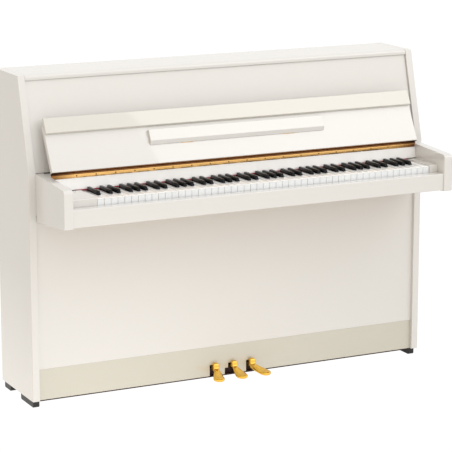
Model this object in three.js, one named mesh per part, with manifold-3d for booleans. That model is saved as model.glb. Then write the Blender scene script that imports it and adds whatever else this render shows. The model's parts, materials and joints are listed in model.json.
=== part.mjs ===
// A console upright piano, in millimetres: +Z up, +X to the player's right, the player at -Y.
// The origin is on the floor, under the middle of the case.
import * as THREE from "three";
import { mergeVertices } from "three/addons/utils/BufferGeometryUtils.js";
import Module from "manifold-3d";

const wasm = await Module();
wasm.setup();

// Driving dimensions
const GAP = 0.3; // between pieces that touch
const CASE_WIDTH = 1468;
const CASE_DEPTH = 530;
const CASE_HEIGHT = 1090;
const SIDE_THICKNESS = 24;
const BOARD_THICKNESS = 18;
const FOOT_HEIGHT = 24; // the underside of the case
const SIDE_FRONT_Y = -24; // front edge of a side panel, below its slant
const SLANT_START_Z = 784;
const SLANT_TOP_Y = 57; // where the slanted front edge reaches the top
const UPPER_PANEL_RECESS = 8; // behind the side panels' slanted edge
const LID_UNDERSIDE_Z = CASE_HEIGHT - BOARD_THICKNESS;
const LOWER_PANEL_FRONT_Y = -13;
const TOE_RAIL_FRONT_Y = -12;
const TOE_RAIL_BACK_Y = 4;
const TOE_RAIL_TOP_Z = 128;
const LOWER_PANEL_TOP_Z = 640;

const ARM_THICKNESS = 32;
const ARM_TOP_FRONT_Z = 771;
const ARM_TOP_BACK_Z = 782;
const ARM_BOTTOM_FRONT_Z = 645;
const ARM_BOTTOM_BACK_Z = 624;
const ARM_NOSE_RADIUS = 14;
const ARM_BACK_Y = 60;

const KEYBED_BOTTOM_Z = 646;
const KEYBED_TOP_Z = 676;
const KEYBED_BACK_Y = 150;
const SLIP_TOP_Z = 706;
const SLIP_FRONT_Y = -260;
const SLIP_BACK_Y = -225;

const NATURAL_COUNT = 52;
const NATURAL_PITCH = 23.5;
const KEYBOARD_LEFT_X = -579; // the keyboard sits a little right of the middle
const CHEEK_BACK_Y = -85;
const KEY_GAP = 0.5; // half the space between two naturals
const KEY_BOTTOM_Z = SLIP_TOP_Z - 3;
const NATURAL_TOP_Z = 728;
const NATURAL_FRONT_Y = -223;
const SHARP_TOP_Z = 740;
const SHARP_FRONT_Y = -173;
const SHARP_BACK_Y = -86;
const SHARP_HALF_WIDTH = 6.85;
const SHARP_SLOT_HALF_WIDTH = 7.9;
const LEVER_TOP_Z = 727;
const LEVER_BACK_Y = 150;
const COMB_SPINE_FRONT_Y = 140;
const BALANCE_Y = -5;

const NAMEBOARD_BOTTOM_Z = 731.6;
const NAMEBOARD_TOP_Z = 780.5;
const NAMEBOARD_FACE_Y = -71.8;
const FELT_Y = [-84, -63];

const FALLBOARD_PIN = [-73.5, 784]; // y and z of the hinge pin
const FALLBOARD_LEAN = THREE.MathUtils.degToRad(27.6); // back from upright, when open
const FALLBOARD_LENGTH = 165;
const FALLBOARD_THICKNESS = 17;
const FALLBOARD_HALF_WIDTH = 677;
const LIP_LENGTH = 52;
const LIP_THICKNESS = 12.5;
const LEDGE_HALF_WIDTH = 322;
const LEDGE_LOW = 67; // up the fallboard from its pin
const LEDGE_HIGH = 117;
const LEDGE_THICKNESS = 12;
const LEDGE_CHAMFER = 11; // its lower edge is cut away by this much along the fallboard
const HINGE_RADIUS = 3;
const HINGE_PIN_RADIUS = 1.2;
const HINGE_LEAF = 1.2;

const LID_HINGE_PIN = [262, 1073];
const LID_HINGE_RADIUS = 2.6;
const LID_BACK_Y = 257.5;

const PEDAL_NAMES = ["left", "middle", "right"];
const PEDAL_X = [-70, 0, 69];
const PEDAL_TOE_SPLAY = [-17, 0, 20]; // sideways, from the neck to the toe
const PEDAL_TAIL_Y = [95, 120, 70]; // where each tail lifts its trap lever
const PEDAL_PIVOT = [40, 57]; // y and z
const PEDAL_NECK_HALF_WIDTH = 9.7;
const PEDAL_SLOT_HALF_WIDTH = 16;
const PEDAL_NECK_FRONT_Y = -31;
const PEDAL_TOE_RADIUS = 20;
const PEDAL_TOE_Y = -86;
const PEDAL_NECK_TOP_Z = 59.5;
const PEDAL_HUMP = [-23.5, 64]; // y and z of its centre, just in front of the toe rail
const PEDAL_HUMP_RADIUS = 9;
const BOTTOM_BOARD_TOP_Z = 46;
const BOTTOM_BOARD_BOTTOM_Z = 19.5;
const FOOT_OUTER_X = 728;
const FOOT_WIDTH = 22;
const TRAP_FULCRUM_X = [200, 200, 300];
const TRAP_ROD_X = [-625, -650, -600];
const TRAP_LEVER_BOTTOM_Z = 63;
const TRAP_LEVER_TOP_Z = 85;
const TRAP_ROD_TOP_Z = 745;

const ACTION_HALF_WIDTH = 655;
const PLATE_FRONT_Y = 165;
const PLATE_BACK_Y = 178;
const STRING_FRONT_Y = 160.5;
const STRING_BACK_Y = 163;
const SOUNDBOARD_FRONT_Y = 196;
const SOUNDBOARD_BACK_Y = 204;
const FRAME_FRONT_Y = 217;
const FRAME_BACK_Y = 260;
const PINBLOCK_FRONT_Y = 180;
const PINBLOCK_Z = [880, 1060];
const HAMMER_PIVOT = [112, 824];
const DAMPER_PIVOT = [138, 822];

// Worked out from the driving dimensions
const halfWidth = CASE_WIDTH / 2;
const halfDepth = CASE_DEPTH / 2;
const innerHalf = halfWidth - SIDE_THICKNESS;
const fitHalf = innerHalf - GAP; // boards that fill the case
const armInner = innerHalf - GAP - ARM_THICKNESS;
const keyWellHalf = armInner - GAP;
const keyboardRightX = KEYBOARD_LEFT_X + NATURAL_COUNT * NATURAL_PITCH;

// Finishes
function finish(color, roughness, metalness = 0) {
  return new THREE.MeshStandardMaterial({ color, roughness, metalness });
}
const ivoryLacquer = finish("#ebe7df", 0.12);
const whitePlastic = finish("#f6f7f8", 0.22);
const blackSharp = finish("#0c0c0e", 0.3);
const blackFoot = finish("#141414", 0.5);
const brass = finish("#d9a341", 0.25, 1);
const redFelt = finish("#a02733", 0.95);
const darkStain = finish("#2a1216", 0.6);
const spruce = finish("#cfae78", 0.6);
const beech = finish("#b98f5f", 0.6);
const goldIron = finish("#b08a3e", 0.45, 0.6);
const steel = finish("#8d9096", 0.35, 1);
const woolFelt = finish("#e4e0d4", 0.95);

const piano = new THREE.Group();

function addPart(name, geometry, material) {
  const mesh = new THREE.Mesh(geometry, material);
  mesh.name = name;
  piano.add(mesh);
}

// Shapes
const AXIS_X = new THREE.Vector3(1, 0, 0);
const AXIS_Y = new THREE.Vector3(0, 1, 0);
const AXIS_Z = new THREE.Vector3(0, 0, 1);

function boxBetween(x0, x1, y0, y1, z0, z1) {
  const geometry = new THREE.BoxGeometry(x1 - x0, y1 - y0, z1 - z0);
  return geometry.translate((x0 + x1) / 2, (y0 + y1) / 2, (z0 + z1) / 2);
}

function extrude(outline, depth) {
  const shape = new THREE.Shape(outline.map(([u, v]) => new THREE.Vector2(u, v)));
  return new THREE.ExtrudeGeometry(shape, { depth, bevelEnabled: false });
}

// A side outline of [y, z] points, carried from x0 to x1
function acrossX(outline, x0, x1) {
  const geometry = extrude(outline, x1 - x0);
  geometry.applyMatrix4(new THREE.Matrix4().makeBasis(AXIS_Y, AXIS_Z, AXIS_X));
  return geometry.translate(x0, 0, 0);
}

// A front outline of [x, z] points, carried from y0 to y1
function alongY(outline, y0, y1) {
  const geometry = extrude(outline, y1 - y0);
  geometry.applyMatrix4(new THREE.Matrix4().makeBasis(AXIS_X, AXIS_Z, AXIS_Y.clone().negate()));
  return geometry.translate(0, y1, 0);
}

// A plan outline of [x, y] points, carried from z0 to z1
function upZ(outline, z0, z1) {
  return extrude(outline, z1 - z0).translate(0, 0, z0);
}

function rectangle(u0, u1, v0, v1) {
  return [[u0, v0], [u1, v0], [u1, v1], [u0, v1]];
}

// Points on an arc about (u, v), from one angle to another, in degrees
function arc(u, v, radius, from, to, steps) {
  return Array.from({ length: steps + 1 }, (_, i) => {
    const angle = THREE.MathUtils.degToRad(from + ((to - from) * i) / steps);
    return [u + radius * Math.cos(angle), v + radius * Math.sin(angle)];
  });
}

function toSolid(geometry) {
  const bare = geometry.clone();
  bare.deleteAttribute("normal");
  bare.deleteAttribute("uv");
  const merged = mergeVertices(bare, 1e-4);
  const triVerts = Uint32Array.from(merged.index.array);
  const vertProperties = merged.attributes.position.array;
  return new wasm.Manifold(new wasm.Mesh({ numProp: 3, vertProperties, triVerts }));
}

function toGeometry(solid) {
  const { vertProperties, triVerts } = solid.getMesh();
  const geometry = new THREE.BufferGeometry();
  geometry.setAttribute("position", new THREE.BufferAttribute(Float32Array.from(vertProperties), 3));
  geometry.setIndex(new THREE.BufferAttribute(Uint32Array.from(triVerts), 1));
  geometry.computeVertexNormals();
  return geometry;
}

function join(geometries) {
  return toGeometry(geometries.map(toSolid).reduce((whole, next) => whole.add(next)));
}

function cut(geometry, tools) {
  return toGeometry(tools.map(toSolid).reduce((left, tool) => left.subtract(tool), toSolid(geometry)));
}

function common(a, b) {
  return toGeometry(toSolid(a).intersect(toSolid(b)));
}

// The y of a plane parallel to the slanted front edge, a given distance behind it, at height z
function slantY(z, behind) {
  const rise = CASE_HEIGHT - SLANT_START_Z;
  const run = SLANT_TOP_Y - SIDE_FRONT_Y;
  const sideways = Math.hypot(rise, run) / rise;
  return SIDE_FRONT_Y + behind * sideways + ((z - SLANT_START_Z) * run) / rise;
}

// A point on the open fallboard: along the board from its pin, and out from its back face
function onFallboard([along, out]) {
  const sin = Math.sin(FALLBOARD_LEAN);
  const cos = Math.cos(FALLBOARD_LEAN);
  const [pinY, pinZ] = FALLBOARD_PIN;
  return [pinY + along * sin - out * cos, pinZ + along * cos + out * sin];
}

function fallboardPiece(along0, along1, out0, out1, half) {
  return acrossX(rectangle(along0, along1, out0, out1).map(onFallboard), -half, half);
}

// Case
function makeSidePanels() {
  const outline = [
    [halfDepth, FOOT_HEIGHT],
    [halfDepth, CASE_HEIGHT],
    [SLANT_TOP_Y, CASE_HEIGHT],
    [SIDE_FRONT_Y, SLANT_START_Z],
    [SIDE_FRONT_Y, FOOT_HEIGHT],
  ];
  addPart("side_panel_left", acrossX(outline, -halfWidth, -innerHalf), ivoryLacquer);
  addPart("side_panel_right", acrossX(outline, innerHalf, halfWidth), ivoryLacquer);
}

function makeArms() {
  const noseY = -halfDepth + ARM_NOSE_RADIUS;
  const noseZ = ARM_TOP_FRONT_Z - ARM_NOSE_RADIUS;
  const panelY = slantY(ARM_TOP_BACK_Z, UPPER_PANEL_RECESS);
  const outline = [
    ...arc(noseY, noseZ, ARM_NOSE_RADIUS, 90, 180, 10),
    [-halfDepth, ARM_BOTTOM_FRONT_Z + 3],
    [-halfDepth + 3, ARM_BOTTOM_FRONT_Z],
    [SIDE_FRONT_Y - 2, ARM_BOTTOM_BACK_Z],
    [SIDE_FRONT_Y - 2, KEYBED_BOTTOM_Z],
    [ARM_BACK_Y, KEYBED_BOTTOM_Z],
    [ARM_BACK_Y, ARM_TOP_BACK_Z],
    [panelY, ARM_TOP_BACK_Z],
  ];
  const outer = armInner + ARM_THICKNESS;
  addPart("arm_left", acrossX(outline, -outer, -armInner), ivoryLacquer);
  addPart("arm_right", acrossX(outline, armInner, outer), ivoryLacquer);
}

function makeLid() {
  const frontY = SLANT_TOP_Y - 2.5;
  const topRadius = 10;
  const bottomRadius = 3;
  const outline = [
    [LID_BACK_Y, LID_UNDERSIDE_Z],
    [LID_BACK_Y, CASE_HEIGHT],
    ...arc(frontY + topRadius, CASE_HEIGHT - topRadius, topRadius, 90, 180, 8),
    ...arc(frontY + bottomRadius, LID_UNDERSIDE_Z + bottomRadius, bottomRadius, 180, 270, 4),
  ];
  addPart("top_lid", acrossX(outline, -innerHalf + 1, innerHalf - 1), ivoryLacquer);
}

// A continuous hinge along x: a leaf outline of [y, z] points, and every other knuckle of the barrel
function hingeLeaf(leafOutline, [pinY, pinZ], radius, half, knuckles, first, solidPin) {
  const length = (2 * half) / knuckles;
  const slack = radius + 0.5;
  const whole = [acrossX(leafOutline, -half, half)];
  const notches = [];
  for (let i = 0; i < knuckles; i += 1) {
    const x0 = -half + i * length;
    const own = i % 2 === first;
    const end = own ? GAP : -GAP;
    const ring = arc(pinY, pinZ, own ? radius : slack, 0, 315, 7);
    (own ? whole : notches).push(acrossX(ring, x0 + end, x0 + length - end));
  }
  const leaf = cut(join(whole), notches);
  const pinRadius = solidPin ? HINGE_PIN_RADIUS : HINGE_PIN_RADIUS + GAP;
  const pin = acrossX(arc(pinY, pinZ, pinRadius, 0, 315, 7), -half + 2, half - 2);
  const bore = acrossX(arc(pinY, pinZ, pinRadius, 0, 315, 7), -half - 1, half + 1);
  return solidPin ? join([leaf, pin]) : cut(leaf, [bore]);
}

function makeLidHinge() {
  const [pinY, pinZ] = LID_HINGE_PIN;
  const half = innerHalf - 10;
  const fixed = rectangle(FRAME_BACK_Y + GAP, FRAME_BACK_Y + GAP + HINGE_LEAF, pinZ - 24, pinZ);
  const moving = rectangle(LID_BACK_Y + GAP, pinY - LID_HINGE_RADIUS + 0.6, pinZ, pinZ + 15);
  const fixedLeaf = hingeLeaf(fixed, LID_HINGE_PIN, LID_HINGE_RADIUS, half, 7, 0, true);
  const movingLeaf = hingeLeaf(moving, LID_HINGE_PIN, LID_HINGE_RADIUS, half, 7, 1, false);
  addPart("lid_hinge_fixed_leaf", fixedLeaf, brass);
  addPart("lid_hinge_moving_leaf", movingLeaf, brass);
}

function makeUpperPanel() {
  const bottom = ARM_TOP_BACK_Z + 1.5;
  const top = LID_UNDERSIDE_Z - 1;
  const back = UPPER_PANEL_RECESS + BOARD_THICKNESS;
  const outline = [
    [slantY(bottom, UPPER_PANEL_RECESS), bottom],
    [slantY(bottom, back), bottom],
    [slantY(top, back), top],
    [slantY(top, UPPER_PANEL_RECESS), top],
  ];
  const panel = acrossX(outline, -fitHalf + 1, fitHalf - 1);
  const restY = (z) => FALLBOARD_PIN[0] + (z - FALLBOARD_PIN[1]) * Math.tan(FALLBOARD_LEAN) + 1;
  const [blockLow, blockHigh] = [905, 917];
  const block = [
    [restY(blockLow), blockLow],
    [slantY(blockLow, 10), blockLow],
    [slantY(blockHigh, 10), blockHigh],
    [restY(blockHigh), blockHigh],
  ];
  const blocks = [-560, 530].map((x) => acrossX(block, x, x + 30)); // the open fallboard's rests
  addPart("upper_front_panel", join([panel, ...blocks]), ivoryLacquer);
}

function makeLowerPanel() {
  const back = LOWER_PANEL_FRONT_Y + BOARD_THICKNESS;
  const bottom = TOE_RAIL_TOP_Z + 1;
  const panel = boxBetween(-fitHalf, fitHalf, LOWER_PANEL_FRONT_Y, back, bottom, LOWER_PANEL_TOP_Z);
  addPart("lower_front_panel", panel, ivoryLacquer);
}

function makeToeRail() {
  const bottom = FOOT_HEIGHT;
  const slotTop = PEDAL_NECK_TOP_Z + 3.5;
  const slotHalf = PEDAL_SLOT_HALF_WIDTH;
  const stepTop = 46; // the middle pedal's slot has a low step where that pedal would lock
  const stepX = -28.6;
  const notches = PEDAL_X.map((x) => rectangle(x - slotHalf, x + slotHalf, bottom - 5, slotTop));
  notches.push(rectangle(stepX, 0, bottom - 5, stepTop));
  const rail = boxBetween(-fitHalf, fitHalf, TOE_RAIL_FRONT_Y, TOE_RAIL_BACK_Y, bottom, TOE_RAIL_TOP_Z);
  addPart("toe_rail", cut(rail, notches.map((notch) => alongY(notch, -20, 20))), ivoryLacquer);
}

function makeBottomBoard() {
  const top = BOTTOM_BOARD_TOP_Z;
  const half = FOOT_OUTER_X - FOOT_WIDTH - 1;
  const backY = FRAME_FRONT_Y - 1;
  const cheekTop = PEDAL_PIVOT[1] + 9;
  const board = boxBetween(-half, half, TOE_RAIL_BACK_Y + 1, backY, BOTTOM_BOARD_BOTTOM_Z, top);
  const tongue = boxBetween(-half, half, TOE_RAIL_FRONT_Y + 3, backY, BOTTOM_BOARD_BOTTOM_Z, FOOT_HEIGHT - GAP);
  const cheeks = PEDAL_X.flatMap((x) =>
    [-1, 1].map((side) => {
      const inside = x + side * (PEDAL_NECK_HALF_WIDTH + 1);
      const outside = x + side * (PEDAL_NECK_HALF_WIDTH + 9);
      const [x0, x1] = [Math.min(inside, outside), Math.max(inside, outside)];
      return boxBetween(x0, x1, PEDAL_PIVOT[0] - 12, PEDAL_PIVOT[0] + 12, top - 1, cheekTop);
    }),
  );
  addPart("bottom_board", join([board, tongue, ...cheeks]), darkStain);
}

function makeFeet() {
  const outer = FOOT_OUTER_X;
  const inner = outer - FOOT_WIDTH;
  const top = FOOT_HEIGHT - GAP;
  const outlineFor = (y0, y1) => [
    [y0, top],
    ...arc(y0 + 6, 6, 6, 180, 270, 3),
    ...arc(y1 - 6, 6, 6, 270, 360, 3),
    [y1, top],
  ];
  const front = outlineFor(-10, 105);
  const rear = outlineFor(200, 258);
  addPart("front_foot_left", acrossX(front, -outer, -inner), blackFoot);
  addPart("front_foot_right", acrossX(front, inner, outer), blackFoot);
  addPart("rear_foot_left", acrossX(rear, -outer, -inner), blackFoot);
  addPart("rear_foot_right", acrossX(rear, inner, outer), blackFoot);
}

// Key well
function makeKeybed() {
  const half = keyWellHalf;
  const bed = boxBetween(-half, half, SLIP_BACK_Y + GAP, KEYBED_BACK_Y, KEYBED_BOTTOM_Z, KEYBED_TOP_Z);
  const holes = TRAP_ROD_X.map((x, i) => {
    const ring = arc(x, PEDAL_TAIL_Y[i], 9, 0, 330, 11);
    return upZ(ring, KEYBED_BOTTOM_Z - 5, KEYBED_TOP_Z + 5);
  });
  addPart("keybed", cut(bed, holes), beech);
  const slipY = [SLIP_FRONT_Y, SLIP_BACK_Y];
  const slip = boxBetween(-half, half, ...slipY, KEYBED_BOTTOM_Z + 2, SLIP_TOP_Z - GAP);
  addPart("key_slip", slip, ivoryLacquer);
}

function makeKeyFrame() {
  const bottom = KEYBED_TOP_Z + GAP;
  const x0 = KEYBOARD_LEFT_X + 1;
  const x1 = keyboardRightX - 1;
  const rails = [
    boxBetween(x0, x1, NATURAL_FRONT_Y + 8, 144, bottom, bottom + 8),
    boxBetween(x0, x1, NATURAL_FRONT_Y + 9, NATURAL_FRONT_Y + 43, bottom + 4, 688),
    boxBetween(x0, x1, BALANCE_Y - 14, BALANCE_Y + 14, bottom + 4, KEY_BOTTOM_Z - 3),
    boxBetween(x0, x1, 104, 138, bottom + 4, KEY_BOTTOM_Z - 4),
  ];
  addPart("key_frame", join(rails), spruce);
}

function makeCheekBlocks() {
  const y = [NATURAL_FRONT_Y, CHEEK_BACK_Y];
  const z = [KEYBED_TOP_Z + GAP, NAMEBOARD_BOTTOM_Z - 0.8];
  const left = boxBetween(-keyWellHalf, KEYBOARD_LEFT_X - 1, ...y, ...z);
  const right = boxBetween(keyboardRightX + 1, keyWellHalf, ...y, ...z);
  addPart("cheek_block_left", left, ivoryLacquer);
  addPart("cheek_block_right", right, ivoryLacquer);
}

function makeNameboard() {
  const shelfBackY = slantY(NAMEBOARD_TOP_Z, UPPER_PANEL_RECESS) - 1;
  const shelfUndersideZ = 765;
  const outline = [
    [-80, NAMEBOARD_BOTTOM_Z],
    [-62, NAMEBOARD_BOTTOM_Z],
    [-54, shelfUndersideZ],
    [shelfBackY, shelfUndersideZ],
    [shelfBackY, NAMEBOARD_TOP_Z],
    [NAMEBOARD_FACE_Y, NAMEBOARD_TOP_Z],
    [NAMEBOARD_FACE_Y, 767],
  ];
  addPart("nameboard", acrossX(outline, -keyWellHalf, keyWellHalf), ivoryLacquer);
  const feltZ = [NATURAL_TOP_Z + 0.8, NAMEBOARD_BOTTOM_Z - GAP];
  const felt = boxBetween(KEYBOARD_LEFT_X - 12, keyboardRightX, ...FELT_Y, ...feltZ);
  addPart("nameboard_felt", felt, redFelt);
}

// Fallboard, drawn open, leaning back
function makeFallboard() {
  const half = FALLBOARD_HALF_WIDTH;
  const panel = fallboardPiece(HINGE_RADIUS + 0.5, FALLBOARD_LENGTH, 0, FALLBOARD_THICKNESS, half);
  addPart("fallboard", panel, ivoryLacquer);
  const lipTop = FALLBOARD_LENGTH + FALLBOARD_THICKNESS + 1;
  const lipOut = FALLBOARD_THICKNESS + GAP;
  const lip = fallboardPiece(lipTop - LIP_LENGTH, lipTop, lipOut, lipOut + LIP_THICKNESS, half);
  addPart("fallboard_lip", lip, ivoryLacquer);
  const ledgeOut = lipOut + LEDGE_THICKNESS;
  const ledge = [
    [LEDGE_LOW, lipOut],
    [LEDGE_LOW, lipOut + 2.5],
    [LEDGE_LOW + LEDGE_CHAMFER, ledgeOut],
    [LEDGE_HIGH, ledgeOut],
    [LEDGE_HIGH, lipOut],
  ].map(onFallboard);
  addPart("music_ledge", acrossX(ledge, -LEDGE_HALF_WIDTH, LEDGE_HALF_WIDTH), ivoryLacquer);
}

function makeFallboardHinge() {
  const half = FALLBOARD_HALF_WIDTH - 1;
  const [, pinZ] = FALLBOARD_PIN;
  const leafBack = NAMEBOARD_FACE_Y - GAP;
  const fixed = rectangle(leafBack - HINGE_LEAF, leafBack, pinZ - 15, pinZ);
  const moving = rectangle(1.9, 1.9 + HINGE_LEAF, 0, FALLBOARD_THICKNESS - 2).map(onFallboard);
  const fixedLeaf = hingeLeaf(fixed, FALLBOARD_PIN, HINGE_RADIUS, half, 11, 0, true);
  const movingLeaf = hingeLeaf(moving, FALLBOARD_PIN, HINGE_RADIUS, half, 11, 1, false);
  addPart("fallboard_hinge_fixed_leaf", fixedLeaf, brass);
  addPart("fallboard_hinge_moving_leaf", movingLeaf, brass);
}

// Pedals and the trapwork behind them
function pedalGeometry(x, splay, tailY) {
  const side = [
    [tailY + 2, 47.5],
    [tailY + 2, TRAP_LEVER_BOTTOM_Z - 0.6],
    [tailY - 3, TRAP_LEVER_BOTTOM_Z - 0.6],
    [tailY - 3, 56],
    [PEDAL_PIVOT[0] + 14, 56],
    [PEDAL_PIVOT[0] + 10, PEDAL_NECK_TOP_Z],
    [PEDAL_HUMP[0] + PEDAL_HUMP_RADIUS, PEDAL_NECK_TOP_Z],
    ...arc(...PEDAL_HUMP, PEDAL_HUMP_RADIUS, 10, 165, 6),
    [PEDAL_HUMP[0] - PEDAL_HUMP_RADIUS, 55],
    [-62, 47],
    [-92, 39.5],
    ...arc(-99.5, 32, 6.5, 80, 260, 5),
    [-80, 26.5],
    [-44, 34],
    [-14, 44],
    [0, 50.5],
  ];
  const toeX = x + splay;
  const half = PEDAL_NECK_HALF_WIDTH;
  const plan = [
    [x - half, tailY + 5],
    [x - half, PEDAL_NECK_FRONT_Y],
    ...arc(toeX, PEDAL_TOE_Y, PEDAL_TOE_RADIUS, 170, 370, 14),
    [x + half, PEDAL_NECK_FRONT_Y],
    [x + half, tailY + 5],
  ];
  return common(acrossX(side, x - 60, x + 60), upZ(plan, 0, 120));
}

function makePedals() {
  PEDAL_NAMES.forEach((name, i) => {
    const tailY = PEDAL_TAIL_Y[i];
    addPart(`pedal_${name}`, pedalGeometry(PEDAL_X[i], PEDAL_TOE_SPLAY[i], tailY), brass);
    const leverX = [TRAP_ROD_X[i] - 15, TRAP_FULCRUM_X[i] + 20];
    const leverZ = [TRAP_LEVER_BOTTOM_Z, TRAP_LEVER_TOP_Z];
    addPart(`trap_lever_${name}`, boxBetween(...leverX, tailY - 9, tailY + 9, ...leverZ), beech);
    const ring = arc(TRAP_ROD_X[i], tailY, 6, 0, 330, 11);
    addPart(`trap_rod_${name}`, upZ(ring, TRAP_LEVER_TOP_Z + 0.6, TRAP_ROD_TOP_Z), beech);
  });
}

// Strung back
function makeBackFrame() {
  const postHalf = 30;
  const bottomRailTop = 130;
  const topRailBottom = 960;
  const centres = [-fitHalf + postHalf, -340, 0, 340, fitHalf - postHalf];
  const bays = centres.slice(1).map((x, i) => {
    return rectangle(centres[i] + postHalf, x - postHalf, bottomRailTop, topRailBottom);
  });
  const outline = rectangle(-fitHalf, fitHalf, FOOT_HEIGHT + 1, LID_UNDERSIDE_Z - 2);
  const blank = alongY(outline, FRAME_FRONT_Y, FRAME_BACK_Y);
  const frame = cut(blank, bays.map((bay) => alongY(bay, FRAME_FRONT_Y - 5, FRAME_BACK_Y + 5)));
  const pinblock = boxBetween(-fitHalf + 6, fitHalf - 6, PINBLOCK_FRONT_Y, FRAME_FRONT_Y + 1, ...PINBLOCK_Z);
  addPart("back_frame_and_pinblock", join([frame, pinblock]), beech);
}

function makeSoundboard() {
  const half = 700;
  const board = boxBetween(-half, half, SOUNDBOARD_FRONT_Y, SOUNDBOARD_BACK_Y, 60, 876);
  const ribs = [-540, -324, -108, 108, 324, 540].map((x) => {
    const lean = 90;
    const outline = [[x - lean - 9, 90], [x - lean + 9, 90], [x + lean + 9, 850], [x + lean - 9, 850]];
    return alongY(outline, SOUNDBOARD_BACK_Y - 1, FRAME_FRONT_Y - 1);
  });
  const bridgeY = [PLATE_BACK_Y + 1, SOUNDBOARD_FRONT_Y + 1];
  const trebleBridge = [[-420, 230], [-400, 205], [-60, 330], [300, 590], [600, 800], [585, 822], [285, 615], [-75, 356]];
  const bassBridge = [[-600, 190], [-585, 165], [-200, 140], [-195, 168]];
  const bridges = [alongY(trebleBridge, ...bridgeY), alongY(bassBridge, ...bridgeY)];
  addPart("soundboard_with_bridges", join([board, ...ribs, ...bridges]), spruce);
}

function makeIronPlate() {
  const outline = [
    [-700, 70], [700, 70], [700, 620], [690, 1040], [-690, 1040], [-700, 620],
  ];
  const bays = [
    [[-640, 130], [-330, 130], [-430, 860], [-640, 860]],
    [[-290, 130], [10, 130], [-90, 860], [-390, 860]],
    [[50, 130], [330, 250], [230, 860], [-50, 860]],
    [[370, 270], [640, 480], [640, 860], [270, 860]],
  ];
  const blank = alongY(outline, PLATE_FRONT_Y, PLATE_BACK_Y);
  const plate = cut(blank, bays.map((bay) => alongY(bay, PLATE_FRONT_Y - 5, PLATE_BACK_Y + 5)));
  addPart("iron_plate", plate, goldIron);
  const band = boxBetween(-640, 660, STRING_FRONT_Y, STRING_BACK_Y, 120, 1000);
  addPart("strings", band, steel);
}

// Action
function makeAction() {
  const half = ACTION_HALF_WIDTH;
  const beam = boxBetween(-half - 6, half + 6, 95, 122, 790, 815);
  const brackets = [-1, 1].map((side) => {
    const x = side * (half + 12);
    return boxBetween(x - 7, x + 7, 72, 130, KEYBED_TOP_Z + GAP, 822);
  });
  addPart("action_rail", join([beam, ...brackets]), beech);
}

function makeHammers() {
  const [pivotY, pivotZ] = HAMMER_PIVOT;
  const x0 = KEYBOARD_LEFT_X + 4;
  const x1 = keyboardRightX - 4;
  const count = 13;
  const pieces = [
    boxBetween(x0, x1, pivotY - 10, pivotY + 8, pivotZ - 6, pivotZ + 8),
    boxBetween(x0, x1, pivotY - 32, pivotY - 14, pivotZ + 48, pivotZ + 62),
    boxBetween(x0, x1, pivotY - 18, pivotY + 14, pivotZ + 72, pivotZ + 101),
  ];
  for (let i = 0; i < count; i += 1) {
    const x = x0 + 4 + ((x1 - x0 - 8) * i) / (count - 1);
    pieces.push(boxBetween(x - 3, x + 3, pivotY - 16, pivotY - 6, pivotZ, pivotZ + 80));
  }
  addPart("hammers_and_rest_rail", join(pieces), woolFelt);
}

function makeDampers() {
  const [pivotY, pivotZ] = DAMPER_PIVOT;
  const x0 = KEYBOARD_LEFT_X + 4;
  const x1 = 420; // the highest strings have no dampers
  const outline = [
    [pivotY - 4, pivotZ - 4],
    [pivotY + 4, pivotZ - 4],
    [pivotY + 4, pivotZ + 24],
    [STRING_FRONT_Y - 1, pivotZ + 24],
    [STRING_FRONT_Y - 1, pivotZ + 58],
    [pivotY + 12, pivotZ + 58],
    [pivotY + 12, pivotZ + 34],
    [pivotY - 4, pivotZ + 34],
  ];
  addPart("dampers", acrossX(outline, x0, x1), woolFelt);
}

function makeMufflerRail() {
  const x0 = KEYBOARD_LEFT_X + 4;
  const rail = boxBetween(x0, keyboardRightX - 4, 148, 157, 928, 960);
  addPart("muffler_rail", rail, woolFelt);
}

// Keys. Natural 0 is the lowest note, an A.
const LETTERS = "ABCDEFG";
const SHARP_OFFSET = { A: 2.9, C: -1.9, D: 1.9, F: -2.9, G: 0 }; // from the line between its naturals

function letterOf(natural) {
  return LETTERS[natural % LETTERS.length];
}

function hasSharpAbove(natural) {
  const last = NATURAL_COUNT - 1;
  return natural >= 0 && natural < last && letterOf(natural) in SHARP_OFFSET;
}

function sharpX(natural) {
  return KEYBOARD_LEFT_X + (natural + 1) * NATURAL_PITCH + SHARP_OFFSET[letterOf(natural)];
}

// Plan of one natural, or of a run of naturals joined at the front, with slots for the sharps
function naturalGeometry(first, last, backY) {
  const x0 = KEYBOARD_LEFT_X + first * NATURAL_PITCH + KEY_GAP;
  const x1 = KEYBOARD_LEFT_X + (last + 1) * NATURAL_PITCH - KEY_GAP;
  const slotY = SHARP_FRONT_Y - 1.5;
  const outline = [[x0, NATURAL_FRONT_Y], [x1, NATURAL_FRONT_Y]];
  if (hasSharpAbove(last)) {
    const tailX = sharpX(last) - SHARP_SLOT_HALF_WIDTH;
    outline.push([x1, slotY], [tailX, slotY], [tailX, backY]);
  } else {
    outline.push([x1, backY]);
  }
  for (let natural = last - 1; natural >= first; natural -= 1) {
    if (hasSharpAbove(natural)) {
      const right = sharpX(natural) + SHARP_SLOT_HALF_WIDTH;
      const left = sharpX(natural) - SHARP_SLOT_HALF_WIDTH;
      outline.push([right, backY], [right, slotY], [left, slotY], [left, backY]);
    }
  }
  if (hasSharpAbove(first - 1)) {
    const tailX = sharpX(first - 1) + SHARP_SLOT_HALF_WIDTH;
    outline.push([tailX, backY], [tailX, slotY], [x0, slotY]);
  } else {
    outline.push([x0, backY]);
  }
  return upZ(outline, KEY_BOTTOM_Z, NATURAL_TOP_Z);
}

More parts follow.
